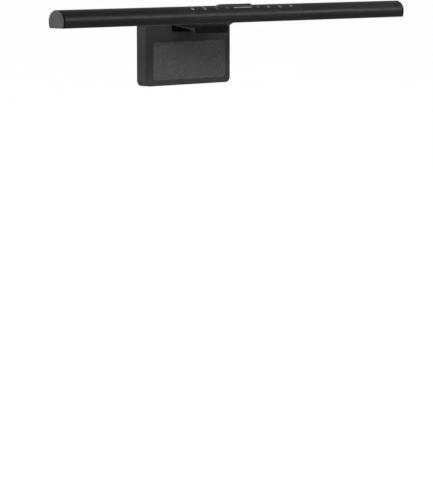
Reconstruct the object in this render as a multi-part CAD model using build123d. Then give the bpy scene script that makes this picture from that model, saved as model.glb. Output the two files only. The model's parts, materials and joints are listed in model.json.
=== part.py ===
from build123d import *
import os
from math import cos, pi, radians, sin, sqrt

# Monitor light bar: a D-section lamp on a weighted clamp that sits on a monitor's top edge.
# Millimetres. +X is to the user's right, +Y points away from the user, +Z is up.
# The origin is the middle of the flat seat that rests on the monitor's top edge.

# ---- light bar ----
BAR_LENGTH = 500.0
BAR_R = 11.1  # dome radius, so the bar is 22.2 mm deep
BAR_DROP = 6.6  # tilt axis down to the flat bottom
SIDE_R = 17.0  # the sides below the dome curve in on this radius
SIDE_ARCS = 4  # each side is this many equal arcs
BOTTOM_FILLET = 0.9
AXIS_Y = -43.7  # the dome's centre line is also the tilt axis
AXIS_Z = 16.2
WALL = 1.3
CAP_THICK = 3.2
CAP_RIM = 0.5  # soft outer edge of the end caps
BREAK = 0.2  # small chamfer along seams
CAP_PLUG = 5.0
FIT_GAP = 0.05  # between pieces that are fitted to each other
SEAM_GAP = 0.5  # shadow line round the touch panel

PANEL_HALF = 85.4
PANEL_WALL = 1.4
PANEL_REAR_DEG = 46.0  # angles go round the tilt axis, from straight back, up and over
PANEL_FRONT_DEG = 184.7
DEG_PER_MM = 180 / (pi * BAR_R)  # degrees round the dome for each millimetre along it
SEAM_DEG = SEAM_GAP * DEG_PER_MM
LIP_DEG = 5.0
LIP_THICK = 0.8
PANEL_POSTS = [(x, u) for x in (-66, -30, 30, 66) for u in (-4.2, 4.2)]
ICON_DEG = 127.0
ICON_DEPTH = 0.3
STRIP_LENGTH = 26.4
STRIP_WIDTH = 1.1
ICON_STROKE = 0.62
ICON_X = (22.8, 38.0, 55.6, 72.5)
ICON_R = 1.6
ICON_SCALE = 1.25

LEDGE = 4.9  # the two inner ledges reach in from the walls to this half width
SLOT_HALF = 6.5  # light opening in the flat bottom
BOARD_THICK = 1.0
BOARD_V = 4.95  # the control board lies this far above the tilt axis
BOARD_HALF_W = 6.0
BOARD_POSTS = [(x, u) for x in (-66, 66) for u in (-4.2, 4.2)]
LED_BOARD_HALF = 4.8
LED_SIZE = (3.5, 2.8, 0.7)
LED_COUNT = 30
MIDDLE_HALF = 20.0  # the tilt mechanism takes the middle of the bar
DIFFUSER_FLANGE = 0.8
REFLECTOR_WALL = 0.7

# ---- tilt mechanism ----
SHAFT_R = 2.5
SHAFT_PLAY = 0.05
HUB_R = 4.1
HUB_HALF = 6.0
WASHER_THICK = 0.95
WASHER_R = 3.9
EAR_THICK = 2.0
EAR_X = HUB_HALF + WASHER_THICK + 0.1
BRACKET_BASE = 1.5
NECK_THICK = 4.6
NECK_HALF = 5.0
NECK_OFFSET = 0.4  # the neck's middle lies this far above the tilt axis
TILT_SLOT_DEG = (-25.0, 38.0)
TILT_SLOT_HALF = 6.0

# ---- clamp ----
ARM_HALF = 24.3
SEAT_R = BAR_R + 0.6  # hollow front of the head, clear of the dome at every tilt
HEAD_FRONT_DEG = 68.5  # the hollow seat ends at this angle, right under the head's front edge
HEAD_TOP_Z = 28.7
KNEE_Y = -15.0  # the arm's top slopes down from the head to here, then runs almost level
KNEE_Z = 20.2
KNEE_R = 45.0
LIP_FILLET = 0.7
SHELL = 1.8
HINGE_Y = 34.0
HINGE_Z = 11.0
BARREL_R = 5.6
BARREL_HALF = 24.15
PIN_R = 2.0
PIN_HALF = 29.9
ARM_END_Y = 27.6
PARTING = ((-45.0, 16.8), (45.0, 9.9))  # the covers meet on this line, seen from the side
GROOVE_DEPTH = 0.4  # shadow groove along the parting line
SPINE_HALF = 16.0
SPINE_REAR = (9.0, 12.2)  # the spine's lower and upper face where it meets the barrel
POST_R = 2.3
ARM_SCREWS = ((-19.4, 0.6), (19.4, 0.6), (-19.4, 20.0), (19.4, 20.0))
HOOK_HALF = 24.0
HOOK_FRONT_Y = -6.0
HOOK_THICK = 2.6
HOOK_LOW_Z = -3.1
HOOK_CORNER = 3.0
FLANGE_END_Y = 5.0
FLANGE_THICK = 2.0
RAMP_SLOPE = 0.47  # the arm's underside rises this steeply in front of the hook
RAMP_BREAK_Y = -14.0  # and less from here to the head
HEAD_LOW_Y = -23.0  # the round underside of the head starts here
HEAD_LOW_Z = 9.5
LINER = 1.0
SEAT_HALF = 2.0
RIB_COUNT = 5
RIB_PITCH = 5.9
RIB_FIRST_Y = 3.9
RIB_HEIGHT = 1.3
RIB_SLOPE = 0.1447
RIB_LINE_Z = 0.72  # height of the rib tips' line over the origin
LINER_HALF = 23.4

# ---- counterweight ----
WEIGHT_HALF = 62.0
WEIGHT_FRONT_Y = 28.9
WEIGHT_BACK_Y = 44.4
WEIGHT_TOP_Z = 17.0
WEIGHT_LOW_Z = -58.0
WEIGHT_CORNER = 6.0
NOTCH_HALF = 24.7  # wider than the arm, whose rear end swings into the notch
NOTCH_FLOOR_Z = -1.4
LID_THICK = 2.0
BLOCK_SIZE = (104.0, 10.0, 35.0)
BLOCK_Z = -21.0
BLOCK_FRONT_Y = 31.3
BLOCK_SCREW_X = (-43.0, 43.0)
PAD_SIZE = (106.0, 40.0)
PAD_Z = -32.0
PAD_RECESS = 0.6
PAD_PROUD = 0.5
PORT_Z = -48.0
PORT_SIZE = (8.94, 7.3, 3.26)
BUSH_R = 3.3
BUSH_LENGTH = 4.6
SCREW_XZ = ((-54.0, 9.0), (54.0, 9.0), (-54.0, -50.0), (54.0, -50.0))

os.makedirs("parts", exist_ok=True)


# ---- shared helpers ----
def save(name, pieces):
    """Write one sub-part to its own file, as one solid or as a group of separate solids."""
    solids = [solid for piece in pieces for solid in piece.solids()]
    shape = solids[0] if len(solids) == 1 else Compound(children=solids)
    shape.label = name
    export_step(shape, f"parts/{name}.step")


def slab(x0, x1, y0, y1, z0, z1):
    """A box from its two corners."""
    return Pos((x0 + x1) / 2, (y0 + y1) / 2, (z0 + z1) / 2) * Box(x1 - x0, y1 - y0, z1 - z0)


def along_x(face, x0, x1, y=0.0, z=0.0):
    """Sweep a flat section along X; the section's own axes are Y and Z."""
    return extrude(Plane.YZ.offset(x0) * Pos(y, z) * face, x1 - x0, dir=(1, 0, 0))


def bar_slice(face, x0, x1):
    """Sweep a section that is drawn about the tilt axis."""
    return along_x(face, x0, x1, AXIS_Y, AXIS_Z)


def rod(radius, x0, x1, y, z):
    """A round bar along X."""
    return along_x(Circle(radius), x0, x1, y, z)


def polar(radius, degrees):
    return radius * cos(radians(degrees)), radius * sin(radians(degrees))


def side_u(depth, inset):
    """Half width of the bar's section at a depth below the tilt axis."""
    return BAR_R - SIDE_R + sqrt((SIDE_R - inset) ** 2 - depth**2)


def bar_outline(inset):
    """The D section: a half-round dome, gently closing sides and a flat bottom."""
    r = BAR_R - inset
    low = BAR_DROP - inset
    low_u = side_u(low, inset)
    edges = [ThreePointArc((r, 0), (0, r), (-r, 0)), Line((-low_u, -low), (low_u, -low))]
    for i in range(SIDE_ARCS):
        top, mid, end = (low * (i + part) / SIDE_ARCS for part in (0, 0.5, 1))
        for side in (-1, 1):
            points = [(side * side_u(depth, inset), -depth) for depth in (top, mid, end)]
            edges.append(ThreePointArc(*points))
    face = make_face(edges)
    corners = face.vertices().filter_by_position(Axis.Y, -low - 0.01, -low + 0.01)
    return fillet(corners, max(BOTTOM_FILLET - inset, 0.2))


def ring_sector(r0, r1, deg0, deg1):
    """A bent strip between two radii and two angles about the tilt axis."""
    mid = (deg0 + deg1) / 2
    edges = [
        ThreePointArc(polar(r1, deg0), polar(r1, mid), polar(r1, deg1)),
        Line(polar(r1, deg1), polar(r0, deg1)),
        ThreePointArc(polar(r0, deg1), polar(r0, mid), polar(r0, deg0)),
        Line(polar(r0, deg0), polar(r1, deg0)),
    ]
    return make_face(edges)


def seam_bevel(degrees, side):
    """Triangle that breaks the tube's outer edge on one side of a seam."""
    away = degrees + side * BREAK * DEG_PER_MM
    corners = polar(BAR_R - BREAK, degrees), polar(BAR_R, degrees), polar(BAR_R, away)
    return make_face(Polyline(*corners, close=True))


# ---- light bar: shell ----
def bar_housing():
    """Full-length aluminium section, open below for the light and above for the panel."""
    end = BAR_LENGTH / 2 - CAP_THICK
    tube = bar_slice(bar_outline(0) - bar_outline(WALL), -end, end)
    inner = bar_outline(WALL)
    ledges = Pos(0, 0.5) * Rectangle(30, 1.0) - Rectangle(2 * LEDGE, 6.0)
    tube += bar_slice(inner & ledges, -end, end)
    tube -= bar_slice(Pos(0, -BAR_DROP) * Rectangle(2 * SLOT_HALF, 4.0), -end - 1, end + 1)
    window = ring_sector(4.0, BAR_R + 3, PANEL_REAR_DEG, PANEL_FRONT_DEG)
    for degrees, side in ((PANEL_REAR_DEG, -1), (PANEL_FRONT_DEG, 1)):
        window += seam_bevel(degrees, side)
    half = PANEL_HALF + SEAM_GAP
    tube -= bar_slice(window, -half, half)
    neck_slot = ring_sector(4.0, BAR_R + 3, *TILT_SLOT_DEG)
    return tube - bar_slice(neck_slot, -TILT_SLOT_HALF, TILT_SLOT_HALF)


def end_cap():
    """Moulded cap: a D-shaped face with a soft rim and a plug that grips the tube."""
    end = BAR_LENGTH / 2
    inner = end - CAP_THICK
    face = bar_slice(bar_outline(0), inner, end)
    face = fillet(face.faces().sort_by(Axis.X)[-1].edges(), CAP_RIM)
    face = chamfer(face.faces().sort_by(Axis.X)[0].edges(), BREAK)
    plug_in = bar_outline(WALL + FIT_GAP) - bar_outline(WALL + 1.4)
    plug = bar_slice(plug_in, inner - CAP_PLUG, inner)
    keep_clear = bar_slice(Pos(0, -1.6) * Rectangle(30, 12.0), inner - CAP_PLUG - 1, inner)
    return face + (plug - keep_clear)


def symbols():
    """Flat generic symbols of the touch keys, drawn round the origin: name to sketch."""
    ring = Circle(ICON_R) - Circle(ICON_R - ICON_STROKE)
    dot = Circle(0.75)
    gap = Pos(0, ICON_R) * Rectangle(1.3, 1.6)
    power = (ring - gap) + Pos(0, 1.2) * Rectangle(ICON_STROKE, 1.5)
    slash = Rot(0, 0, 35) * Rectangle(ICON_STROKE, 3.2)
    sun = Circle(0.8) + [Rot(0, 0, 45 * i) * Pos(0, 1.55) * Rectangle(0.4, 0.7) for i in range(8)]
    bars = [Pos(-1.0 + 1.0 * i, -0.6 + 0.3 * i) * Rectangle(0.5, 1.2 + 0.6 * i) for i in range(3)]
    steps = Sketch() + bars
    half_ring = ring - Pos(0, -ICON_R) * Rectangle(4.0, 2 * ICON_R)
    arc_dot = half_ring + Pos(0, -0.6) * Circle(0.6)
    left = [dot, slash, ring, power]
    right = [dot, steps, sun, arc_dot]
    placed = list(zip([-x for x in ICON_X], left)) + list(zip(ICON_X, right))
    return [(x, scale(sketch, by=ICON_SCALE)) for x, sketch in placed]


def panel_inlay(sketch, x, depth):
    """Stand a sketch on the dome above one place and cut it to the skin's depth."""
    y, z = polar(BAR_R, ICON_DEG)
    outward = Vector(0, y, z).normalized()
    place = Plane(origin=(x, AXIS_Y + y, AXIS_Z + z), x_dir=(1, 0, 0), z_dir=outward)
    blank = extrude(place * sketch, 1.5, both=True)
    skin = bar_slice(ring_sector(BAR_R - depth, BAR_R, ICON_DEG - 25, ICON_DEG + 25), x - 20, x + 20)
    return blank & skin


def key_symbols():
    return [panel_inlay(sketch, x, ICON_DEPTH) for x, sketch in symbols()]


def light_strip():
    """Lighter strip in the middle of the keys, over the light sensor."""
    return panel_inlay(SlotOverall(STRIP_LENGTH, STRIP_WIDTH), 0.0, PANEL_WALL)


def touch_panel(inlays):
    """Curved cover let into the dome, with a lip that tucks under the tube's edges."""
    wedge = ring_sector(4.0, BAR_R + 3, PANEL_REAR_DEG + SEAM_DEG, PANEL_FRONT_DEG - SEAM_DEG)
    skin = (bar_outline(0) - bar_outline(PANEL_WALL)) & wedge
    panel = bar_slice(skin, -PANEL_HALF, PANEL_HALF)
    lip_r = BAR_R - PANEL_WALL
    lip = ring_sector(lip_r - LIP_THICK, lip_r, PANEL_REAR_DEG - LIP_DEG, PANEL_FRONT_DEG - 6)
    panel += bar_slice(lip, -PANEL_HALF + 1, PANEL_HALF - 1)
    for x, u in PANEL_POSTS:
        panel += Pos(x, AXIS_Y + u, AXIS_Z + 7.3) * Cylinder(1.5, 2.6)
    for inlay in inlays:
        panel -= inlay
    return panel


def touch_foil():
    """Electrode foil glued to the panel's inner side under the keys."""
    outer = BAR_R - PANEL_WALL - LIP_THICK
    foil = bar_slice(ring_sector(outer - 0.2, outer, 112, 150), -PANEL_HALF + 3, PANEL_HALF - 3)
    for x, u in PANEL_POSTS:
        foil -= Pos(x, AXIS_Y + u, AXIS_Z + 8) * Cylinder(1.8, 6)
    return foil


# ---- light bar: electronics ----
def control_board():
    """Long narrow board, notched at the rear where the clamp's neck swings up."""
    low = AXIS_Z + BOARD_V
    rear = AXIS_Y + BOARD_HALF_W
    board = slab(-74, 74, AXIS_Y - BOARD_HALF_W, rear, low, low + BOARD_THICK)
    board -= slab(-NECK_HALF - 1, NECK_HALF + 1, rear - 2.2, rear + 1, low - 1, low + 2)
    for x, u in BOARD_POSTS:
        board -= Pos(x, AXIS_Y + u, low) * Cylinder(0.8, 6)
    return board


def board_screws():
    """Small screws that hold the control board up to the panel's posts."""
    low = AXIS_Z + BOARD_V
    head = Pos(0, 0, -0.45) * Cylinder(1.3, 0.9)
    shank = Pos(0, 0, BOARD_THICK / 2) * Cylinder(0.75, BOARD_THICK)
    return [Pos(x, AXIS_Y + u, low) * (head + shank) for x, u in BOARD_POSTS]


def board_chips():
    """Controller, touch controller, driver and plug on the board's underside."""
    top = AXIS_Z + BOARD_V
    sizes = [(-52, 7, 7, 1.0), (-36, 5, 5, 0.9), (34, 6, 6, 2.2), (50, 9, 6, 3.2), (24, 4, 4, 1.2)]
    return [slab(x, x + a, AXIS_Y - b / 2, AXIS_Y + b / 2, top - h, top) for x, a, b, h in sizes]


def light_sensor():
    """Small sensor on top of the board, behind the light strip."""
    top = AXIS_Z + BOARD_V + BOARD_THICK
    return slab(-1.6, 1.6, AXIS_Y - 4.4, AXIS_Y - 1.6, top, top + 0.9)


def led_board():
    """Aluminium-backed board that lies against the tube's inner ledges."""
    end = BAR_LENGTH / 2 - CAP_THICK - CAP_PLUG - 1
    front, rear = AXIS_Y - LED_BOARD_HALF, AXIS_Y + LED_BOARD_HALF
    return slab(MIDDLE_HALF, end, front, rear, AXIS_Z - BOARD_THICK, AXIS_Z)


def leds():
    """A row of surface-mounted LEDs facing down."""
    length, width, height = LED_SIZE
    top = AXIS_Z - BOARD_THICK
    start, end = MIDDLE_HALF + 5, BAR_LENGTH / 2 - 14
    pitch = (end - start) / (LED_COUNT - 1)
    row = []
    for i in range(LED_COUNT):
        x = start + i * pitch
        row.append(Pos(x, AXIS_Y, top - height / 2) * Box(length, width, height))
    return row


def reflector():
    """White trough: its rear wall is steep, so no light reaches the screen."""
    top, low = -BOARD_THICK, -BAR_DROP + WALL + DIFFUSER_FLANGE
    t = REFLECTOR_WALL
    front = Polygon((-2.0, top), (-2.0 - t, top), (-6.6 - t, low), (-6.6, low), align=None)
    rear = Polygon((2.0, top), (2.0 + t, top), (3.8 + t, low), (3.8, low), align=None)
    end = BAR_LENGTH / 2 - CAP_THICK - CAP_PLUG - 1
    trough = bar_slice(front, MIDDLE_HALF, end) + bar_slice(rear, MIDDLE_HALF, end)
    walls = Polygon((-2.0, top), (2.0, top), (3.8, low), (-6.6, low), align=None)
    trough += bar_slice(walls, MIDDLE_HALF, MIDDLE_HALF + t)
    return trough + bar_slice(walls, end - t, end)


def lower_strip(x0, x1):
    """T-shaped strip that fills the light opening, held by its inner flange."""
    bottom = -BAR_DROP
    web = Pos(0, bottom + WALL / 2) * Rectangle(2 * (SLOT_HALF - FIT_GAP), WALL)
    flange = Pos(0, bottom + WALL + DIFFUSER_FLANGE / 2) * Rectangle(2 * SLOT_HALF + 3, DIFFUSER_FLANGE)
    return bar_slice(web + flange, x0, x1)


def diffuser():
    return lower_strip(MIDDLE_HALF, BAR_LENGTH / 2 - CAP_THICK)


# ---- light bar: tilt mechanism ----
def middle_cover():
    """Plain cover below the tilt mechanism, drilled for its two screws."""
    cover = lower_strip(-MIDDLE_HALF + 0.1, MIDDLE_HALF - 0.1)
    for x in (-16, 16):
        cover -= Pos(x, AXIS_Y, AXIS_Z - BAR_DROP) * Cylinder(1.1, 8)
        cover -= Pos(x, AXIS_Y, AXIS_Z - BAR_DROP + 0.5) * Cylinder(2.1, 1.0)
    return cover


def middle_screws():
    """Screws from below that tie the middle cover to the tilt bracket."""
    low = AXIS_Z - BAR_DROP
    head = Pos(0, 0, 0.55) * Cylinder(2.0, 0.9) - Pos(0, 0, 0.1) * Box(2.6, 0.5, 0.9)
    shank = Pos(0, 0, 2.2) * Cylinder(1.0, 2.4)
    return [Pos(x, AXIS_Y, low) * (head + shank) for x in (-16, 16)]


def tilt_bracket():
    """Steel channel trapped in the tube, with two ears that carry the pivot shaft."""
    base_v = -BAR_DROP + WALL + DIFFUSER_FLANGE
    base = Pos(0, base_v + BRACKET_BASE / 2) * Rectangle(15.0, BRACKET_BASE)
    body = bar_slice(base, -19, 19) - bar_slice(Rectangle(9.8, 20), -12, 12)
    body -= bar_slice(Pos(7, 0) * Rectangle(8, 20), -NECK_HALF - 0.8, NECK_HALF + 0.8)
    ear = Pos(0, (4.2 + base_v) / 2) * Rectangle(9.4, 4.2 - base_v)
    ear += Pos(0, (base_v - 0.3) / 2) * Rectangle(13.0, -0.3 - base_v)
    for x0 in (-EAR_X - EAR_THICK, EAR_X):
        body += bar_slice(ear, x0, x0 + EAR_THICK)
    for x in (-16, 16):
        body -= Pos(x, AXIS_Y, AXIS_Z + base_v) * Cylinder(1.05, 6)
    return body - rod(SHAFT_R + 0.02, -30, 30, AXIS_Y, AXIS_Z)


def pivot_shaft():
    """Headed shaft on the tilt axis."""
    outer = EAR_X + EAR_THICK
    head = rod(3.8, -outer - 2.0, -outer, AXIS_Y, AXIS_Z)
    return head + rod(SHAFT_R, -outer, outer + 3.6, AXIS_Y, AXIS_Z)


def pivot_nut():
    """Nut that squeezes the friction washers."""
    outer = EAR_X + EAR_THICK
    nut = bar_slice(RegularPolygon(3.9, 6), outer, outer + 2.8)
    return nut - rod(SHAFT_R + 0.02, outer - 1, outer + 4, AXIS_Y, AXIS_Z)


def friction_washers():
    """One washer on each side of the hub."""
    washers = []
    for x0 in (-EAR_X, EAR_X - WASHER_THICK):
        ring = rod(WASHER_R, x0, x0 + WASHER_THICK, AXIS_Y, AXIS_Z)
        washers.append(ring - rod(SHAFT_R + 0.02, -20, 20, AXIS_Y, AXIS_Z))
    return washers


# ---- clamp ----
def tip_z(y):
    """Height of the grip's rib tips, rising to the rear."""
    return RIB_LINE_Z + RIB_SLOPE * y


def liner_top_z(y):
    """Where the grip liner meets the arm's underside."""
    return tip_z(max(y, FLANGE_END_Y)) + RIB_HEIGHT + LINER


def seat_point(degrees):
    y, z = polar(SEAT_R, degrees)
    return AXIS_Y + y, AXIS_Z + z


def arm_outline():
    """Side view of the clamp's shell: hollow front, sloping top and rising underside."""
    upper, middle, lower = seat_point(HEAD_FRONT_DEG), seat_point(HEAD_FRONT_DEG / 2), seat_point(-6)
    front_top = (upper[0], HEAD_TOP_Z)
    rear_top = (ARM_END_Y, 17.0)
    flange_z = liner_top_z(0) + FLANGE_THICK
    ramp_end = (HOOK_FRONT_Y, 4.24)
    ramp_break = (RAMP_BREAK_Y, ramp_end[1] + RAMP_SLOPE * (HOOK_FRONT_Y - RAMP_BREAK_Y))
    head_low = (HEAD_LOW_Y, HEAD_LOW_Z)
    knee = (KNEE_Y, KNEE_Z)
    edges = [
        Line(upper, front_top),
        Line(front_top, knee),
        Line(knee, rear_top),
        Line(rear_top, (ARM_END_Y, liner_top_z(ARM_END_Y))),
        Line((ARM_END_Y, liner_top_z(ARM_END_Y)), (FLANGE_END_Y, liner_top_z(0))),
        Line((FLANGE_END_Y, liner_top_z(0)), (FLANGE_END_Y, flange_z)),
        Line((FLANGE_END_Y, flange_z), (HOOK_FRONT_Y, flange_z)),
        Line((HOOK_FRONT_Y, flange_z), ramp_end),
        Line(ramp_end, ramp_break),
        Line(ramp_break, head_low),
        ThreePointArc(head_low, (-28.4, 11.6), lower),
        ThreePointArc(lower, middle, upper),
    ]
    side = make_face(edges)
    bend = [v for v in side.vertices() if abs(v.X - KNEE_Y) < 0.01]
    return fillet(bend, KNEE_R)


def arm_block():
    """The clamp's outer form with softened long edges."""
    block = along_x(arm_outline(), -ARM_HALF, ARM_HALF)
    ends = block.faces().filter_by(Axis.X)
    rims = [e for f in ends for e in f.edges() if e.center().Z > 16.5 and e.center().Y > -30]
    block = fillet(rims, 1.6)
    front = block.faces().sort_by(Axis.Y)[0]
    return fillet(front.edges().filter_by(lambda e: e.center().Z > front.center().Z - 0.1), LIP_FILLET)


def arm_shells():
    """Top and bottom covers, with screw posts and the openings for the cast frame."""
    block = arm_block()
    cavity = along_x(offset(arm_outline(), -SHELL), -ARM_HALF + SHELL, ARM_HALF - SHELL)
    shell = block - cavity
    for x, y in ARM_SCREWS:
        shell += Pos(x, y, 10) * Cylinder(POST_R, 40) & block
        shell -= Pos(x, y, 5) * Cylinder(0.95, 20)
    neck_z = AXIS_Z + NECK_OFFSET
    gap = NECK_THICK / 2 + 0.2
    shell -= slab(-NECK_HALF - 0.2, NECK_HALF + 0.2, -36, -28, neck_z - gap, neck_z + gap)
    shell -= slab(-SPINE_HALF - 0.2, SPINE_HALF + 0.2, 20, 30, SPINE_REAR[0] - 0.2, SPINE_REAR[1] + 0.2)
    (y0, z0), (y1, z1) = PARTING
    line = Polygon((y0, z0 - BREAK), (y1, z1 - BREAK), (y1, z1 + BREAK), (y0, z0 + BREAK), align=None)
    core_half = ARM_HALF - GROOVE_DEPTH
    core = along_x(offset(arm_outline(), -GROOVE_DEPTH), -core_half, core_half)
    shell -= along_x(line, -ARM_HALF, ARM_HALF) - core
    above = along_x(Polygon((y0, z0), (y1, z1), (y1, 60), (y0, 60), align=None), -40, 40)
    return {"arm_top_cover": shell & above, "arm_bottom_cover": shell - above}


def arm_frame():
    """Casting that carries the load: tilt hub, neck, spine and hinge barrel."""
    hub = rod(HUB_R, -HUB_HALF, HUB_HALF, AXIS_Y, AXIS_Z)
    neck_z = AXIS_Z + NECK_OFFSET
    neck = slab(-NECK_HALF, NECK_HALF, AXIS_Y, -28, neck_z - NECK_THICK / 2, neck_z + NECK_THICK / 2)
    plate = slab(-SPINE_HALF, SPINE_HALF, -29.4, -26.4, 15.0, 21.0)
    low, high = SPINE_REAR
    upper = [(-29.4, 19.0), (-2.0, 12.4), (HINGE_Y, high)]
    lower = [(HINGE_Y, low), (0.0, 8.4), (-22.0, 13.4), (-29.4, 15.0)]
    side = Polygon(*upper, *lower, align=None)
    frame = hub + neck + plate + along_x(side, -SPINE_HALF, SPINE_HALF)
    frame += rod(BARREL_R, -BARREL_HALF, BARREL_HALF, HINGE_Y, HINGE_Z)
    frame -= rod(SHAFT_R + SHAFT_PLAY, -HUB_HALF - 1, HUB_HALF + 1, AXIS_Y, AXIS_Z)
    return frame - rod(PIN_R + 0.02, -40, 40, HINGE_Y, HINGE_Z)


def arm_screws():
    """Four screws, hidden under the grip liner, that clamp the hook and both covers."""
    screws = []
    for x, y in ARM_SCREWS:
        low = liner_top_z(y)
        head = Pos(x, y, low + 0.9) * Cylinder(1.8, 1.0)
        screws.append(head + Pos(x, y, low + 4.9) * Cylinder(0.9, 7.0))
    return screws


def screw_seats():
    """Counterbores of the arm screws."""
    return [Pos(x, y, liner_top_z(y) + 0.4) * Cylinder(1.9, 2.04) for x, y in ARM_SCREWS]


def front_hook():
    """Hook that hangs over the screen's front bezel, with a flange under the arm."""
    back_y = HOOK_FRONT_Y + HOOK_THICK
    top = liner_top_z(0) + FLANGE_THICK
    plate = slab(-HOOK_HALF, HOOK_HALF, HOOK_FRONT_Y, back_y, HOOK_LOW_Z, top)
    corners = plate.edges().filter_by(Axis.Y).sort_by(Axis.Z)[:2]
    plate = fillet(corners, HOOK_CORNER)
    rim = plate.edges().group_by(Axis.Y)[0].filter_by(lambda e: e.center().Z < top - 0.1)
    plate = fillet(rim, 0.6)
    flange = slab(-HOOK_HALF, HOOK_HALF, back_y, FLANGE_END_Y, liner_top_z(0), top)
    hook = plate + flange
    for x, y in ARM_SCREWS[:2]:
        hook -= Pos(x, y, top) * Cylinder(0.95, 8)
    for seat in screw_seats():
        hook -= seat
    return hook


def grip_liner():
    """Silicone liner: faces the hook's inside, forms the seat and carries the ribs."""
    back_y = HOOK_FRONT_Y + HOOK_THICK
    end_y = ARM_END_Y - 0.3

    def valley(y):
        return tip_z(y) + RIB_HEIGHT

    body = Polygon(
        (back_y, liner_top_z(0)),
        (back_y, HOOK_LOW_Z + 0.3),
        (-SEAT_HALF, HOOK_LOW_Z + 0.3),
        (-SEAT_HALF, 0),
        (SEAT_HALF, 0),
        (SEAT_HALF + 0.5, valley(SEAT_HALF)),
        (end_y, valley(end_y)),
        (end_y, liner_top_z(end_y)),
        (FLANGE_END_Y, liner_top_z(0)),
        align=None,
    )
    for i in range(RIB_COUNT):
        y = RIB_FIRST_Y + i * RIB_PITCH
        rib = Polygon(
            (y - 1.6, valley(y - 1.6) + 0.2),
            (y - 0.6, tip_z(y - 0.6)),
            (y + 0.6, tip_z(y + 0.6)),
            (y + 1.6, valley(y + 1.6) + 0.2),
            align=None,
        )
        body += rib
    liner = along_x(body, -LINER_HALF, LINER_HALF)
    low_corners = [e for e in liner.edges().filter_by(Axis.Y) if e.center().Z < HOOK_LOW_Z + 0.4]
    return fillet(low_corners, HOOK_CORNER - 0.6)


def hinge_pin():
    return rod(PIN_R, -PIN_HALF, PIN_HALF, HINGE_Y, HINGE_Z)


def supply_lead():
    """Lead clipped along the top of the spine, between the head and the hinge."""
    x, radius = 9.0, 1.1
    route = FilletPolyline((x, -25.0, 19.3), (x, -3.0, 14.0), (x, 25.0, 13.55), radius=40)
    return sweep(Plane(route @ 0, z_dir=route % 0) * Circle(radius), path=route)


# ---- counterweight ----
def along_y(face, y0, y1):
    """Sweep a section drawn in X and Z along Y."""
    return extrude(Plane.XZ.offset(-y1) * face, y1 - y0, dir=(0, -1, 0))


def weight_plate():
    """Front view of the counterweight without its notch."""
    height = WEIGHT_TOP_Z - WEIGHT_LOW_Z
    middle_z = (WEIGHT_TOP_Z + WEIGHT_LOW_Z) / 2
    return Pos(0, middle_z) * RectangleRounded(2 * WEIGHT_HALF, height, WEIGHT_CORNER)


def weight_outline(inset):
    """Front view of the tray, with the notch that the arm's end enters."""
    plate = offset(weight_plate(), -inset) if inset else weight_plate()
    depth = WEIGHT_TOP_Z + 5 - NOTCH_FLOOR_Z + inset
    notch = Pos(0, NOTCH_FLOOR_Z - inset + depth / 2) * Rectangle(2 * (NOTCH_HALF + inset), depth)
    return plate - notch


def weight_shell():
    """Front tray: walls, hinge bosses, screw posts and the recess for the grip pad."""
    depth_end = WEIGHT_BACK_Y - LID_THICK
    tray = along_y(weight_outline(0), WEIGHT_FRONT_Y, depth_end)
    tray = fillet(tray.faces().sort_by(Axis.Y)[0].edges(), 1.4)
    tray = chamfer(tray.faces().sort_by(Axis.Y)[-1].edges(), BREAK)
    tray -= along_y(weight_outline(SHELL), WEIGHT_FRONT_Y + SHELL, depth_end + 1)
    outer = along_y(weight_outline(0.4), WEIGHT_FRONT_Y + 0.8, depth_end)
    for side in (-1, 1):
        a, b = sorted((side * NOTCH_HALF, side * (PIN_HALF + 1.6)))
        tray += rod(BUSH_R + 1.6, a, b, HINGE_Y, HINGE_Z) & outer
    for x, z in SCREW_XZ:
        tray += along_y(Pos(x, z) * Circle(2.6), WEIGHT_FRONT_Y + SHELL, depth_end)
        tray -= along_y(Pos(x, z) * Circle(1.0), WEIGHT_FRONT_Y + 4, depth_end + 1)
    for x in BLOCK_SCREW_X:
        tray += along_y(Pos(x, BLOCK_Z) * Circle(3.5), WEIGHT_FRONT_Y + SHELL, BLOCK_FRONT_Y)
    bush_end = NOTCH_HALF + BUSH_LENGTH + 0.1
    tray -= rod(BUSH_R + 0.02, -bush_end, bush_end, HINGE_Y, HINGE_Z)
    tray -= rod(PIN_R + 0.4, -PIN_HALF - 0.4, PIN_HALF + 0.4, HINGE_Y, HINGE_Z)
    pad = Pos(0, PAD_Z) * RectangleRounded(*PAD_SIZE, 4.0)
    return tray - along_y(pad, WEIGHT_FRONT_Y - 1, WEIGHT_FRONT_Y + PAD_RECESS)


def weight_lid():
    """Rear lid that also closes the notch from behind, with its lip and the inlet's opening."""
    depth_end = WEIGHT_BACK_Y - LID_THICK
    lid = along_y(weight_plate(), depth_end, WEIGHT_BACK_Y)
    lid = fillet(lid.faces().sort_by(Axis.Y)[-1].edges(), 1.2)
    lid = chamfer(lid.faces().sort_by(Axis.Y)[0].edges(), BREAK)
    lid += along_y(weight_outline(SHELL + 0.1) - weight_outline(SHELL + 1.2), depth_end - 1.0, depth_end)
    for x, z in SCREW_XZ:
        lid -= along_y(Pos(x, z) * Circle(1.3), depth_end - 2, WEIGHT_BACK_Y + 1)
        lid -= along_y(Pos(x, z) * Circle(2.3), WEIGHT_BACK_Y - 1.2, WEIGHT_BACK_Y + 1)
    width, _, height = PORT_SIZE
    mouth = Pos(0, PORT_Z) * SlotOverall(width + 0.3, height + 0.3)
    lid -= along_y(mouth, depth_end - 2, WEIGHT_BACK_Y + 1)
    flare = Pos(0, PORT_Z) * SlotOverall(width + 2.4, height + 2.4)
    return lid - along_y(flare, WEIGHT_BACK_Y - 0.6, WEIGHT_BACK_Y + 1)


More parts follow.
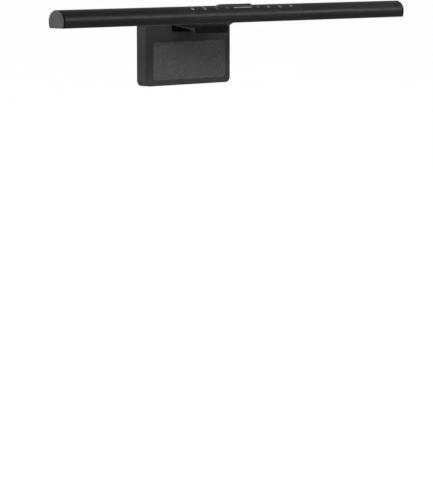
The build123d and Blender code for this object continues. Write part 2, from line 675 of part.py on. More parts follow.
def grip_pad():
    """Silicone pad that rests on the back of the monitor."""
    width, height = PAD_SIZE
    pad = Pos(0, PAD_Z) * RectangleRounded(width - 0.2, height - 0.2, 3.9)
    pad = along_y(pad, WEIGHT_FRONT_Y - PAD_PROUD, WEIGHT_FRONT_Y + PAD_RECESS)
    return fillet(pad.faces().sort_by(Axis.Y)[0].edges(), 0.4)


def weight_block():
    """Steel block, drilled for its two screws."""
    x, y, z = BLOCK_SIZE
    block = slab(-x / 2, x / 2, BLOCK_FRONT_Y, BLOCK_FRONT_Y + y, BLOCK_Z - z / 2, BLOCK_Z + z / 2)
    block = chamfer(block.edges(), 0.8)
    for sx in BLOCK_SCREW_X:
        block -= along_y(Pos(sx, BLOCK_Z) * Circle(1.6), 28, 44)
    return block


def block_screws():
    """Screws that hold the steel block in the tray."""
    back = BLOCK_FRONT_Y + BLOCK_SIZE[1]
    screws = []
    for x in BLOCK_SCREW_X:
        head = along_y(Pos(x, BLOCK_Z) * Circle(2.8), back, back + 0.9)
        screws.append(head + along_y(Pos(x, BLOCK_Z) * Circle(1.5), BLOCK_FRONT_Y + 0.1, back))
    return screws


def lid_screws():
    """Countersunk screws at the lid's corners."""
    screws = []
    for x, z in SCREW_XZ:
        head_back = WEIGHT_BACK_Y - 0.15
        head = along_y(Pos(x, z) * Circle(2.2), WEIGHT_BACK_Y - 1.2, head_back)
        cross = Pos(x, z) * (Rectangle(2.4, 0.6) + Rectangle(0.6, 2.4))
        head -= along_y(cross, head_back - 0.7, head_back + 1)
        shank = along_y(Pos(x, z) * Circle(0.95), WEIGHT_FRONT_Y + 6, WEIGHT_BACK_Y - 1.2)
        screws.append(head + shank)
    return screws


def usb_c_shell():
    """Metal shell of the supply inlet, open to the rear."""
    width, depth, height = PORT_SIZE
    mouth_y = WEIGHT_BACK_Y - 0.6
    back_y = mouth_y - depth
    shell = along_y(Pos(0, PORT_Z) * SlotOverall(width, height), back_y, mouth_y)
    inside = Pos(0, PORT_Z) * SlotOverall(width - 0.6, height - 0.6)
    return shell - along_y(inside, back_y + 1, mouth_y + 1)


def usb_c_tongue():
    """Contact tongue inside the inlet."""
    mouth_y = WEIGHT_BACK_Y - 0.6
    back_y = mouth_y - PORT_SIZE[1] + 1
    return slab(-3.35, 3.35, back_y, mouth_y - 0.9, PORT_Z - 0.35, PORT_Z + 0.35)


def power_board():
    """Small board under the inlet."""
    top = PORT_Z - PORT_SIZE[2] / 2
    return slab(-15, 15, WEIGHT_FRONT_Y + SHELL + 0.4, WEIGHT_BACK_Y - 3.2, top - BOARD_THICK, top)


def hinge_bushes():
    """Flanged bushes of the counterweight's hinge."""
    right = rod(BUSH_R, NOTCH_HALF, NOTCH_HALF + BUSH_LENGTH, HINGE_Y, HINGE_Z)
    right += rod(BUSH_R + 1.2, NOTCH_HALF - 0.4, NOTCH_HALF, HINGE_Y, HINGE_Z)
    right -= rod(PIN_R + SHAFT_PLAY, 0, 60, HINGE_Y, HINGE_Z)
    return [right, mirror(right, Plane.YZ)]


# ---- write every sub-part ----
covers = arm_shells()
for seat in screw_seats():
    covers["arm_bottom_cover"] -= seat

keys = key_symbols()
strip = light_strip()
right_leds = leds()
parts = {
    "bar_housing": bar_housing(),
    "touch_panel": touch_panel(keys + [strip]),
    "key_symbols": keys,
    "light_strip": strip,
    "touch_foil": touch_foil(),
    "control_board": control_board(),
    "board_chips": board_chips(),
    "board_screws": board_screws(),
    "light_sensor": light_sensor(),
    "right_leds": right_leds,
    "left_leds": [mirror(led, Plane.YZ) for led in right_leds],
    "middle_cover": middle_cover(),
    "middle_cover_screws": middle_screws(),
    "tilt_bracket": tilt_bracket(),
    "pivot_shaft": pivot_shaft(),
    "pivot_nut": pivot_nut(),
    "friction_washers": friction_washers(),
    "arm_frame": arm_frame(),
    "arm_screws": arm_screws(),
    "front_hook": front_hook(),
    "grip_liner": grip_liner(),
    "hinge_pin": hinge_pin(),
    "supply_lead": supply_lead(),
    "weight_shell": weight_shell(),
    "weight_lid": weight_lid(),
    "weight_grip_pad": grip_pad(),
    "weight_block": weight_block(),
    "weight_block_screws": block_screws(),
    "weight_lid_screws": lid_screws(),
    "usb_c_shell": usb_c_shell(),
    "usb_c_tongue": usb_c_tongue(),
    "power_board": power_board(),
    "hinge_bushes": hinge_bushes(),
}
parts.update(covers)
paired = {"end_cap": end_cap, "led_board": led_board, "reflector": reflector, "diffuser": diffuser}
for name, make in paired.items():
    right = make()
    parts[f"right_{name}"] = right
    parts[f"left_{name}"] = mirror(right, Plane.YZ)

for name, made in parts.items():
    save(name, made if isinstance(made, list) else [made])
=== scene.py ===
import bmesh
import bpy
import json
from math import cos, pi, radians, sin
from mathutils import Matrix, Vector


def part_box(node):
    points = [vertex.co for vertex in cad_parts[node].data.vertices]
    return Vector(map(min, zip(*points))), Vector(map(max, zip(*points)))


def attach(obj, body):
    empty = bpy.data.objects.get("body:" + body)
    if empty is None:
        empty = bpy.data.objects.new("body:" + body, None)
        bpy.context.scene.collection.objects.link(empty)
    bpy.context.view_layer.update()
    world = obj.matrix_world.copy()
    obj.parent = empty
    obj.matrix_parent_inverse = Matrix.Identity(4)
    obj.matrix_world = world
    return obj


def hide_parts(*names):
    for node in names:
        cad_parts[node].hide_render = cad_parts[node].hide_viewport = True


# Looks of the monitor light bar. Metres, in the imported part's own frame:
# the origin is the seat on the monitor's top edge, +X along the bar, +Y to the back, +Z up.

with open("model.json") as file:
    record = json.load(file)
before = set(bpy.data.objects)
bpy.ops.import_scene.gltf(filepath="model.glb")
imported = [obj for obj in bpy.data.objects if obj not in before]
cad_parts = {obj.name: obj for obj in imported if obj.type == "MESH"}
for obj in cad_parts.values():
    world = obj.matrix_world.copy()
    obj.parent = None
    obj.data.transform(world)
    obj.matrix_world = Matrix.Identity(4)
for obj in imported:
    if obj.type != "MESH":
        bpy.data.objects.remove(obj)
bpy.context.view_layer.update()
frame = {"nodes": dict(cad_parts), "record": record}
NODES = frame["nodes"]
SCENE = bpy.context.scene
MM = 0.001

# ---- camera and floor ----
CAMERA_PLACE = (-1.7883, -1.8035, 0.0977)
CAMERA_YAW = 45.05  # degrees from +X towards +Y
CAMERA_PITCH = -7.17
CAMERA_LENS = 181.0  # the lens and the sensor are in millimetres
CAMERA_SENSOR = 36.0
CAMERA_REACH = 300.0
FLOOR_DROP = 0.45  # a desk top lies this far below the seat of a screen of this size
FLOOR_HALF = 60.0

# ---- lights; the soft boxes are aimed at the origin, and angles are in degrees ----
WORLD_STRENGTH = 0.55
SOFT_BOXES = (
    # name, place, width, height, power, spread
    ("front_strip", (1.9, -1.9, 0.75), 1.8, 1.3, 4.4, 22.0),
    ("left_rear", (-1.5, 1.5, 0.15), 1.4, 0.8, 6.5, 60.0),
    ("front_top", (0.0, -2.0, 1.3), 1.6, 0.9, 2.4, 26.0),
    ("left_front", (-1.9, -1.9, 0.9), 1.4, 0.9, 1.8, 26.0),
    ("rear_fill", (0.0, 2.6, 1.1), 2.2, 1.2, 3.6, 30.0),
    ("right_side", (2.6, 0.3, 0.7), 1.4, 1.0, 2.2, 30.0),
)
SUN_POWER = 1.8
SUN_ANGLE = 80.0
SUN_TURN = (-20.0, -12.0, 0.0)

# ---- the bar's section, about the tilt axis ----
TILT_AXIS = next(j["pos_m"] for j in frame["record"]["behaviour"]["joints"] if j["name"] == "bar_tilt")
DOME_R = (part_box("bar_housing")[1][1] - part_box("bar_housing")[0][1]) / 2
SIDE_R = 17.0 * MM  # the sides below the dome curve in on this radius
ARC_FULL = 6.0  # facets within this many degrees of the true arcs are shaded as arcs
ARC_NONE = 12.0  # facets further off than this keep their own normals

# ---- softened edges, lightened partly as wear and partly as a painted edge highlight ----
MOULDED_EDGE_R = 0.3 * MM
BLASTED_EDGE_R = 0.25 * MM
BEVEL_SAMPLES = 6
EDGE_WEAR_AND_SHEEN_TURN = (0.90, 0.995)  # cosines of the turn at which an edge is fully worn and carries the full painted highlight, and not at all
EDGE_WEAR_AND_SHEEN_SHARE = (0.25, 1.0)  # how much of the wear and painted highlight shows between its patches and in them
EDGE_WEAR_AND_SHEEN_PATCH = 3.0 * MM

# ---- end caps: the face's lighter grey, painted light for the light that falls on the ends, fades in between these depths below the cap's end ----
CAP_FADE_DEEP = 0.35 * MM
CAP_FADE_SHALLOW = 0.15 * MM

# ---- grip pad of the counterweight ----
PAD_CORNER = 3.9 * MM
PAD_CORNER_SHRINK = 0.8  # the corner radius loses this share of the inset
PAD_EDGE_R = 0.35 * MM
PAD_RIM = 2.4 * MM  # plain border round the pad's studded field
PAD_SLOPE = 0.3 * MM  # width of the step from the border down to the field
PAD_FIELD_DROP = 0.28 * MM  # the studs stand this high over the field
STUD_PITCH = 2.6 * MM
ROW_PITCH = 0.866 * STUD_PITCH  # rows of a triangular pattern
STUD_R = 0.85 * MM
STUD_MARGIN = 0.5 * MM
STUD_ROOT = 0.1 * MM  # the studs reach this far into the field
STUD_SIDES = 12
STUD_DOME = ((1.0, 0.0), (0.86, 0.55), (0.62, 0.86), (0.3, 1.0))  # shares of a stud's radius and height

# ---- rounding of the ribbed liner ----
LINER_VOXEL = 0.32 * MM
LINER_SMOOTHING = 0.5
LINER_SMOOTH_STEPS = 3

# ---- contacts of the USB-C inlet, measured from the tongue's tip ----
CONTACTS = 12
LONG_CONTACTS = (0, 3, 8, 11)  # ground and supply
CONTACT_START = 0.5 * MM
LONG_END = 3.2 * MM
SHORT_END = 2.7 * MM
CONTACT_WIDTH = 0.28 * MM
CONTACT_PITCH = 0.5 * MM
CONTACT_RISE = 0.03 * MM  # above the tongue's face, and as far below it
CONTACT_CHAMFER = 0.05 * MM

# the Mix node's two inputs and its output, which depend on what it mixes
MIX_SOCKETS = {"RGBA": (6, 7, 2), "VECTOR": (4, 5, 1)}


# ---- node helpers ----
class Tree:
    """Short spelling for building one material's nodes."""

    def __init__(self, name):
        self.material = bpy.data.materials.new(name)
        self.material.use_nodes = True
        self.graph = self.material.node_tree
        self.shader = self.graph.nodes["Principled BSDF"]
        self.place = self.node("ShaderNodeTexCoord").outputs["Object"]

    def node(self, kind, **settings):
        made = self.graph.nodes.new(kind)
        for key, value in settings.items():
            setattr(made, key, value)
        return made

    def link(self, out, into):
        self.graph.links.new(out, into)

    def set(self, **values):
        for key, value in values.items():
            self.shader.inputs[key.replace("_", " ")].default_value = value

    def place_xyz(self):
        """The three parts of the object coordinates."""
        split = self.node("ShaderNodeSeparateXYZ")
        self.link(self.place, split.inputs[0])
        return split.outputs

    def stretched(self, scale):
        """Object coordinates scaled unevenly, for grain with a direction."""
        mapping = self.node("ShaderNodeMapping")
        mapping.inputs["Scale"].default_value = scale
        self.link(self.place, mapping.inputs["Vector"])
        return mapping.outputs["Vector"]

    def noise(self, size, seed, detail=3.0, rough=0.55, coords=None):
        """Noise whose features are about size metres across."""
        made = self.node("ShaderNodeTexNoise", noise_dimensions="4D")
        made.inputs["Scale"].default_value = 1.0 / size
        made.inputs["Detail"].default_value = detail
        made.inputs["Roughness"].default_value = rough
        made.inputs["W"].default_value = seed
        self.link(coords or self.place, made.inputs["Vector"])
        return made.outputs["Fac"]

    def remap(self, value, low, high, start=0.3, end=0.7):
        """Map the range from start to end, by default where most of a noise lies, to low and high."""
        made = self.node("ShaderNodeMapRange")
        made.inputs["From Min"].default_value = start
        made.inputs["From Max"].default_value = end
        made.inputs["To Min"].default_value = low
        made.inputs["To Max"].default_value = high
        self.link(value, made.inputs["Value"])
        return made.outputs["Result"]

    def mix(self, factor, first, second, kind="RGBA"):
        """Blend two sockets or plain colours."""
        made = self.node("ShaderNodeMix", data_type=kind)
        first_input, second_input, output = MIX_SOCKETS[kind]
        self.link(factor, made.inputs[0])
        for value, socket in ((first, made.inputs[first_input]), (second, made.inputs[second_input])):
            if isinstance(value, tuple):
                socket.default_value = (*value, 1.0)
            else:
                self.link(value, socket)
        return made.outputs[output]

    def math(self, operation, first, second=0.0):
        made = self.node("ShaderNodeMath", operation=operation)
        for value, socket in zip((first, second), made.inputs):
            if isinstance(value, float):
                socket.default_value = value
            else:
                self.link(value, socket)
        return made.outputs[0]

    def dot(self, first, second):
        made = self.node("ShaderNodeVectorMath", operation="DOT_PRODUCT")
        self.link(first, made.inputs[0])
        self.link(second, made.inputs[1])
        return made.outputs["Value"]

    def tones(self, size, seed, low, high, detail=3.0):
        """A colour that drifts between two tones in patches of about size metres."""
        return self.mix(self.remap(self.noise(size, seed, detail), 0.0, 1.0), low, high)

    def bump(self, height, depth, normal=None):
        """Normals of a relief that is depth metres deep."""
        made = self.node("ShaderNodeBump")
        made.inputs["Distance"].default_value = depth
        self.link(height, made.inputs["Height"])
        if normal:
            self.link(normal, made.inputs["Normal"])
        return made.outputs["Normal"]

    def soft_edges(self, radius):
        """Normals turned over the edges within a radius, as on a moulded or blasted part."""
        made = self.node("ShaderNodeBevel", samples=BEVEL_SAMPLES)
        made.inputs["Radius"].default_value = radius
        return made.outputs["Normal"]

    def true_section(self, soft):
        """Softened normals, replaced by those of the bar's true arcs where the two nearly agree."""
        place = self.place_xyz()
        across = self.math("SUBTRACT", place["Y"], TILT_AXIS[1])
        above = self.math("SUBTRACT", place["Z"], TILT_AXIS[2])
        on_side = self.math("MULTIPLY", self.math("SIGN", across), self.math("LESS_THAN", above, 0.0))
        outward = self.node("ShaderNodeCombineXYZ")
        shift = self.math("MULTIPLY", on_side, SIDE_R - DOME_R)
        self.link(self.math("ADD", across, shift), outward.inputs["Y"])
        self.link(above, outward.inputs["Z"])
        unit = self.node("ShaderNodeVectorMath", operation="NORMALIZE")
        self.link(outward.outputs[0], unit.inputs[0])
        turned = self.node("ShaderNodeVectorTransform", vector_type="NORMAL")
        turned.convert_from, turned.convert_to = "OBJECT", "WORLD"
        self.link(unit.outputs[0], turned.inputs[0])
        arc = turned.outputs[0]
        near = self.remap(self.dot(soft, arc), 0.0, 1.0, cos(radians(ARC_NONE)), cos(radians(ARC_FULL)))
        return self.mix(near, soft, arc, kind="VECTOR")

    def edge_mask(self, soft, seed):
        """1 along the edges, broken up by noise, from how far the softened normal turns; it places wear
        and a painted edge highlight.
        """
        flat = self.node("ShaderNodeNewGeometry").outputs["Normal"]
        near = self.remap(self.dot(soft, flat), 1.0, 0.0, *EDGE_WEAR_AND_SHEEN_TURN)
        patchy = self.remap(self.noise(EDGE_WEAR_AND_SHEEN_PATCH, seed), *EDGE_WEAR_AND_SHEEN_SHARE, 0.35, 0.6)
        return self.math("MULTIPLY", near, patchy)

    def colour(self, socket):
        self.link(socket, self.shader.inputs["Base Color"])

    def roughness(self, socket):
        self.link(socket, self.shader.inputs["Roughness"])

    def patchy_roughness(self, size, seed, low, high, detail=3.0):
        """Roughness that drifts between two values in patches of about size metres."""
        self.roughness(self.remap(self.noise(size, seed, detail), low, high))

    def normal(self, socket):
        self.link(socket, self.shader.inputs["Normal"])


def grey(value, warm=0.0):
    """A near-neutral colour, slightly warm or cool."""
    return (value * (1 + warm), value, value * (1 - warm))


# ---- materials ----
def blasted_aluminium():
    """Bead-blasted, black anodised aluminium with faint die lines along the bar."""
    tree = Tree("blasted_aluminium")
    body = tree.tones(35 * MM, 1.0, grey(0.0023, -0.02), grey(0.0036))
    soft = tree.soft_edges(BLASTED_EDGE_R)
    # edges lightened: partly wear, partly a painted highlight of light on the small rounded edges
    tree.colour(tree.mix(tree.edge_mask(soft, 5.0), body, grey(0.045, -0.01)))
    lines = tree.noise(1.1 * MM, 2.0, detail=2.0, coords=tree.stretched((0.01, 1.0, 1.0)))
    touched = tree.remap(tree.noise(18 * MM, 4.0, detail=4.0, rough=0.6), 0.0, 0.05, 0.45, 0.65)
    tree.roughness(tree.math("ADD", tree.remap(lines, 0.33, 0.40), touched))
    grain = tree.noise(0.22 * MM, 3.0, detail=2.0)
    tree.normal(tree.bump(grain, 0.035 * MM, tree.true_section(soft)))
    tree.set(Specular_IOR_Level=0.065)
    return tree.material


def moulded_plastic(
    name, seed, low, high, rough, grain=0.3 * MM, depth=0.03 * MM, shine=0.11, on_bar=False
):
    """Black moulding with a spark-eroded skin; the grain's size and depth vary by part."""
    tree = Tree(name)
    body = tree.tones(20 * MM, seed, grey(low, -0.01), grey(high, 0.01))
    soft = tree.soft_edges(MOULDED_EDGE_R)
    # edges lightened: partly wear, partly a painted highlight of light on the small rounded edges
    tree.colour(tree.mix(tree.edge_mask(soft, seed + 3), body, grey(high * 3.5)))
    tree.patchy_roughness(6 * MM, seed + 1, rough - 0.04, rough + 0.05, detail=4.0)
    skin = tree.noise(grain, seed + 2, detail=2.0)
    tree.normal(tree.bump(skin, depth, tree.true_section(soft) if on_bar else soft))
    tree.set(Specular_IOR_Level=shine)
    return tree.material


def cap_plastic():
    """End cap: a near-black, matt rim and a dark grey outer face that is a little less rough; the face's
    grey is painted light for the light that falls on the cap's end.
    """
    tree = Tree("cap_moulding")
    end_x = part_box("right_end_cap")[1][0]
    from_middle = tree.math("ABSOLUTE", tree.place_xyz()["X"])
    outer = tree.remap(from_middle, 0.0, 1.0, end_x - CAP_FADE_DEEP, end_x - CAP_FADE_SHALLOW)
    rim = tree.tones(8 * MM, 110.0, grey(0.0012), grey(0.0020))
    # painted light: the outer face is a lighter grey than the rim to stand in for light falling on the
    # end
    face = tree.tones(8 * MM, 110.0, grey(0.0300), grey(0.0375))
    soft = tree.soft_edges(MOULDED_EDGE_R)
    # edges lightened: partly wear, partly a painted highlight of light on the small rounded edges
    tree.colour(tree.mix(tree.edge_mask(soft, 111.0), tree.mix(outer, rim, face), grey(0.035)))
    tree.roughness(tree.remap(outer, 0.70, 0.50, 0.0, 1.0))
    skin = tree.noise(0.3 * MM, 112.0, detail=2.0)
    tree.normal(tree.bump(skin, 0.03 * MM, tree.true_section(soft)))
    tree.set(Specular_IOR_Level=0.04)
    return tree.material


def silicone():
    """Dull silicone with dusty patches and a soft sheen."""
    tree = Tree("silicone")
    dust = tree.noise(4 * MM, 20.0, detail=5.0, rough=0.65)
    tree.colour(tree.mix(tree.remap(dust, 0.0, 1.0, 0.45, 0.75), grey(0.018), grey(0.030, 0.03)))
    tree.patchy_roughness(1.5 * MM, 21.0, 0.66, 0.80)
    tree.normal(tree.bump(tree.noise(0.4 * MM, 22.0), 0.02 * MM))
    tree.set(Specular_IOR_Level=0.2, Sheen_Weight=0.1, Sheen_Roughness=0.4)
    return tree.material


def frosted_diffuser():
    """Milky sheet with a fine frosted skin."""
    tree = Tree("frosted_diffuser")
    tree.colour(tree.tones(12 * MM, 30.0, grey(0.74, 0.004), grey(0.80, 0.008)))
    tree.patchy_roughness(2 * MM, 31.0, 0.42, 0.52)
    tree.normal(tree.bump(tree.noise(0.25 * MM, 32.0), 0.02 * MM))
    tree.set(Subsurface_Weight=0.3, Subsurface_Scale=2 * MM)
    return tree.material


def metal(name, seed, low, high, rough, grain=0.4 * MM, stretch=(1.0, 1.0, 1.0), warm=0.0):
    """Bare or plated metal; stretch turns the grain into brushing."""
    tree = Tree(name)
    tree.colour(tree.tones(6 * MM, seed, grey(low, warm), grey(high, warm)))
    lines = tree.noise(grain, seed + 1, coords=tree.stretched(stretch))
    tree.roughness(tree.remap(lines, rough - 0.06, rough + 0.08))
    tree.normal(tree.bump(lines, 0.01 * MM))
    tree.set(Metallic=1.0)
    return tree.material


def printed_grey(name, low, high, rough):
    """Grey print of the touch symbols and of the light strip, slightly mottled."""
    tree = Tree(name)
    tree.colour(tree.tones(1.2 * MM, 50.0, grey(low, -0.02), grey(high, -0.01), detail=4.0))
    tree.patchy_roughness(0.8 * MM, 51.0, rough - 0.05, rough + 0.05)
    return tree.material


def circuit_board():
    """Green solder mask over a pattern of traces."""
    tree = Tree("circuit_board")
    cells = tree.node("ShaderNodeTexVoronoi", feature="DISTANCE_TO_EDGE")
    cells.inputs["Scale"].default_value = 1 / (2.4 * MM)
    tree.link(tree.stretched((1.0, 2.2, 1.0)), cells.inputs["Vector"])
    traces = tree.remap(cells.outputs["Distance"], 1.0, 0.0, 0.04, 0.07)
    tree.colour(tree.mix(traces, (0.006, 0.050, 0.022), (0.016, 0.105, 0.045)))
    tree.patchy_roughness(3 * MM, 60.0, 0.28, 0.42)
    tree.normal(tree.bump(traces, 0.03 * MM))
    return tree.material


def white_paint(name, seed):
    """White solder mask and white reflector plastic."""
    tree = Tree(name)
    tree.colour(tree.tones(10 * MM, seed, grey(0.76, 0.004), grey(0.84, 0.006)))
    tree.patchy_roughness(2 * MM, seed + 1, 0.45, 0.6)
    return tree.material


def phosphor():
    """Yellow phosphor of the LEDs."""
    tree = Tree("phosphor")
    tree.colour(tree.tones(0.7 * MM, 70.0, (0.80, 0.58, 0.12), (0.88, 0.70, 0.22)))
    tree.patchy_roughness(1 * MM, 71.0, 0.3, 0.45)
    return tree.material


def make_finishes():
    """Every material slot's finished material."""
    rolled = metal("phosphated_steel", 52.0, 0.22, 0.30, 0.5, 0.8 * MM, stretch=(0.05, 1.0, 1.0))
    cover = moulded_plastic("cover_moulding", 17.0, 0.008, 0.012, 0.74, 0.35 * MM, shine=0.05)
    hook = moulded_plastic("soft_touch", 24.0, 0.005, 0.0075, 0.74, 0.2 * MM, shine=0.05)
    weight = moulded_plastic("weight_moulding", 37.0, 0.014, 0.020, 0.72, 0.35 * MM, shine=0.05)
    panel = moulded_plastic(
        "panel_moulding", 14.0, 0.0031, 0.0044, 0.40, 0.18 * MM, 0.01 * MM, shine=0.07, on_bar=True
    )
    return {
        "black_aluminium": blasted_aluminium(),
        "cap_plastic": cap_plastic(),
        "panel_plastic": panel,
        "key_grey": printed_grey("key_print", 0.10, 0.14, 0.5),
        "strip_grey": printed_grey("strip_window", 0.11, 0.16, 0.32),
        "copper_foil": metal("copper_foil", 48.0, 0.45, 0.50, 0.38, warm=0.5),
        "circuit_board": circuit_board(),
        "chip_black": moulded_plastic("chip_epoxy", 33.0, 0.012, 0.016, 0.5),
        "screw_steel": metal("zinc_plate", 40.0, 0.55, 0.62, 0.34),
        "screw_black": metal("black_oxide", 44.0, 0.045, 0.065, 0.42),
        "led_board_white": white_paint("white_mask", 82.0),
        "led_yellow": phosphor(),
        "reflector_white": white_paint("white_reflector", 80.0),
        "frosted_diffuser": frosted_diffuser(),
        "cover_plastic": cover,
        "bracket_steel": rolled,
        "shaft_steel": metal("turned_steel", 42.0, 0.50, 0.58, 0.26, stretch=(6.0, 1.0, 1.0)),
        "washer_brass": metal("bush_brass", 46.0, 0.46, 0.52, 0.30, warm=0.35),
        "frame_casting": moulded_plastic("coated_casting", 27.0, 0.017, 0.024, 0.42, 0.6 * MM, 0.04 * MM),
        "hook_black": hook,
        "silicone_black": silicone(),
        "lead_sheath": moulded_plastic("lead_sheath", 36.0, 0.010, 0.013, 0.55),
        "weight_plastic": weight,
        "block_steel": rolled,
    }


def dress_nodes(finishes):
    """Give every carried-over CAD node its finished material."""
    for entry in frame["record"]["subparts"]:
        piece = NODES[entry["node"]]
        piece.data.materials.clear()
        piece.data.materials.append(finishes[entry["material_slot"]])


# ---- pieces made here ----
def add_piece(name, mesh, body, material, replaced=()):
    """Link a finished mesh as a piece that rides on a body."""
    piece = bpy.data.objects.new(name, mesh)
    SCENE.collection.objects.link(piece)
    mesh.materials.clear()
    mesh.materials.append(material)
    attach(piece, body)
    if replaced:
        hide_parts(*replaced)
    return piece


def rounded_rectangle(half_x, half_z, corner, steps=8):
    """Outline points in X and Z, counter-clockwise seen from the front."""
    points = []
    for quarter, (side_x, side_z) in enumerate(((1, 1), (-1, 1), (-1, -1), (1, -1))):
        for i in range(steps + 1):
            angle = (quarter + i / steps) * pi / 2
            x = side_x * (half_x - corner) + corner * cos(angle)
            z = side_z * (half_z - corner) + corner * sin(angle)
            points.append((x, z))
    return points


def loop_shell(bm, loops):
    """Closed shell through a stack of equal-length vertex loops."""
    rings = [[bm.verts.new(point) for point in loop] for loop in loops]
    count = len(rings[0])
    for first, second in zip(rings, rings[1:]):
        for i in range(count):
            j = (i + 1) % count
            bm.faces.new((first[i], first[j], second[j], second[i]))
    bm.faces.new(list(reversed(rings[0])))
    bm.faces.new(rings[-1])


def finish_mesh(name, bm, smooth_degrees):
    """Turn the built faces into a mesh that is smooth up to a crease angle."""
    bmesh.ops.recalc_face_normals(bm, faces=bm.faces)
    mesh = bpy.data.meshes.new(name)
    bm.to_mesh(mesh)
    bm.free()
    mesh.shade_smooth()
    mesh.set_sharp_from_angle(angle=radians(smooth_degrees))
    return mesh


def pad_rings(front, back):
    """Inset and Y of each outline, from the pad's back round its soft edge to the studded field."""
    rings = [(0.0, back), (0.0, front + PAD_EDGE_R)]
    for angle in (pi / 8, pi / 4, 3 * pi / 8, pi / 2):
        rings.append((PAD_EDGE_R * (1 - cos(angle)), front + PAD_EDGE_R * (1 - sin(angle))))
    rings.append((PAD_RIM, front))
    rings.append((PAD_RIM + 0.4 * PAD_SLOPE, front + 0.2 * PAD_FIELD_DROP))
    rings.append((PAD_RIM + PAD_SLOPE, front + PAD_FIELD_DROP))
    return rings


def add_stud(bm, x, z, field_y):
    """One low dome that grows out of the field towards the screen."""
    profile = [(STUD_R, field_y + STUD_ROOT)]
    profile += [(STUD_R * share, field_y - PAD_FIELD_DROP * height) for share, height in STUD_DOME]
    turns = [2 * pi * i / STUD_SIDES for i in range(STUD_SIDES)]
    loop_shell(bm, [[(x + r * cos(a), y, z + r * sin(a)) for a in turns] for r, y in profile])


def studded_pad(material):
    """Silicone pad with a soft rim and rows of low domed studs that grip the screen's back."""
    low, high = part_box("weight_grip_pad")
    half_x, half_z = (high[0] - low[0]) / 2, (high[2] - low[2]) / 2
    mid_z = (high[2] + low[2]) / 2
    front, back = low[1], high[1]
    loops = []
    for inset, y in pad_rings(front, back):
        corner = PAD_CORNER - PAD_CORNER_SHRINK * inset
        outline = rounded_rectangle(half_x - inset, half_z - inset, corner)
        loops.append([(x, y, mid_z + z) for x, z in outline])
    bm = bmesh.new()
    loop_shell(bm, loops)
    border = PAD_RIM + PAD_SLOPE + STUD_R + STUD_MARGIN
    rows = int(2 * (half_z - border) / ROW_PITCH)
    columns = int(2 * (half_x - border) / STUD_PITCH)
    for row in range(rows + 1):
        z = mid_z + (row - rows / 2) * ROW_PITCH
        odd = row % 2  # odd rows are half a pitch aside and have one stud less
        for column in range(columns + 1 - odd):
            x = (column + odd / 2 - columns / 2) * STUD_PITCH
            add_stud(bm, x, z, front + PAD_FIELD_DROP)
    mesh = finish_mesh("grip_pad_studs", bm, 50.0)
    add_piece("grip_pad_studs", mesh, "counterweight", material, ("weight_grip_pad",))


def soft_liner(material):
    """The ribbed liner with edges rounded as moulded silicone's are."""
    mesh = NODES["grip_liner"].data.copy()
    mesh.name = "grip_liner_soft"
    piece = add_piece("grip_liner_soft", mesh, "clamp", material, ("grip_liner",))
    remesh = piece.modifiers.new("remesh", "REMESH")
    remesh.mode = "VOXEL"
    remesh.voxel_size = LINER_VOXEL
    remesh.use_smooth_shade = True
    smooth = piece.modifiers.new("smooth", "SMOOTH")
    smooth.factor = LINER_SMOOTHING
    smooth.iterations = LINER_SMOOTH_STEPS


def add_contact(bm, x, start_y, end_y, face_z):
    """One contact, half sunk in the tongue's face, with chamfered edges."""
    loops = []
    for level, inset in ((-1.0, CONTACT_CHAMFER), (-0.5, 0.0), (0.5, 0.0), (1.0, CONTACT_CHAMFER)):
        z = face_z + level * CONTACT_RISE
        left, right = x - CONTACT_WIDTH / 2 + inset, x + CONTACT_WIDTH / 2 - inset
        back, front = end_y + inset, start_y - inset
        loops.append([(left, back, z), (right, back, z), (right, front, z), (left, front, z)])
    loop_shell(bm, loops)


def usb_contacts(material):
    """Gold contacts on both sides of the inlet's tongue."""
    low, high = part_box("usb_c_tongue")
    tip_y = high[1]
    bm = bmesh.new()
    for face_z in (low[2], high[2]):
        for i in range(CONTACTS):
            x = (i - (CONTACTS - 1) / 2) * CONTACT_PITCH
            length = LONG_END if i in LONG_CONTACTS else SHORT_END
            add_contact(bm, x, tip_y - CONTACT_START, tip_y - length, face_z)
    mesh = finish_mesh("usb_contacts", bm, 30.0)
    add_piece("usb_contacts", mesh, "counterweight", material)


# ---- camera, floor and light ----
def aimed(direction):
    """Rotation of a camera or light that looks in a direction."""
    return direction.to_track_quat("-Z", "Y").to_euler()


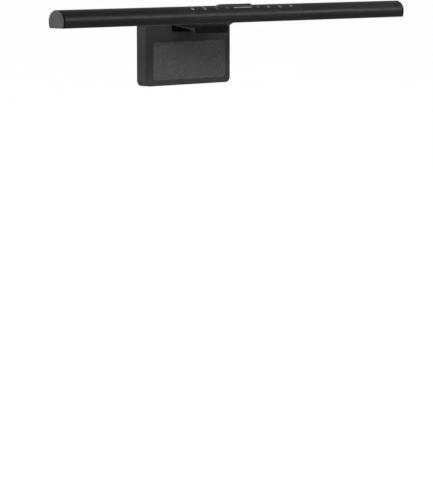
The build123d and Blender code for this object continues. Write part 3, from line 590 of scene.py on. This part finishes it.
def make_camera():
    yaw, pitch = radians(CAMERA_YAW), radians(CAMERA_PITCH)
    data = bpy.data.cameras.new("camera")
    data.lens = CAMERA_LENS
    data.sensor_width = CAMERA_SENSOR
    data.clip_end = CAMERA_REACH
    camera = bpy.data.objects.new("camera", data)
    camera.location = CAMERA_PLACE
    camera.rotation_euler = aimed(Vector((cos(pitch) * cos(yaw), cos(pitch) * sin(yaw), sin(pitch))))
    SCENE.collection.objects.link(camera)
    SCENE.camera = camera


def make_floor():
    mesh = bpy.data.meshes.new("floor")
    half, z = FLOOR_HALF, -FLOOR_DROP
    corners = [(-half, -half, z), (half, -half, z), (half, half, z), (-half, half, z)]
    mesh.from_pydata(corners, [], [(0, 1, 2, 3)])
    floor = bpy.data.objects.new("floor", mesh)
    SCENE.collection.objects.link(floor)
    tree = Tree("floor_paper")
    tree.colour(tree.mix(tree.noise(0.6, 90.0), grey(0.92), grey(0.95)))
    tree.set(Roughness=0.9, Specular_IOR_Level=0.2)
    mesh.materials.append(tree.material)


def soft_box(name, place, width, height, power, spread):
    """A rectangular studio light aimed at the origin; a small spread keeps it off the floor."""
    data = bpy.data.lights.new(name, "AREA")
    data.shape = "RECTANGLE"
    data.size = width
    data.size_y = height
    data.energy = power
    data.spread = radians(spread)
    light = bpy.data.objects.new(name, data)
    light.visible_camera = False
    light.location = place
    light.rotation_euler = aimed(-Vector(place))
    SCENE.collection.objects.link(light)


def make_light():
    """White surroundings, the soft boxes and a broad sun overhead."""
    world = bpy.data.worlds.new("studio")
    SCENE.world = world
    world.use_nodes = True
    background = world.node_tree.nodes["Background"]
    background.inputs["Color"].default_value = (1.0, 1.0, 1.0, 1.0)
    background.inputs["Strength"].default_value = WORLD_STRENGTH
    for box in SOFT_BOXES:
        soft_box(*box)
    data = bpy.data.lights.new("overhead", "SUN")
    data.energy = SUN_POWER
    data.angle = radians(SUN_ANGLE)
    sun = bpy.data.objects.new("overhead", data)
    sun.rotation_euler = [radians(angle) for angle in SUN_TURN]
    SCENE.collection.objects.link(sun)
    SCENE.view_settings.view_transform = "Standard"


finishes = make_finishes()
dress_nodes(finishes)
make_camera()
make_floor()
make_light()
studded_pad(finishes["silicone_black"])
soft_liner(finishes["silicone_black"])
usb_contacts(finishes["washer_brass"])
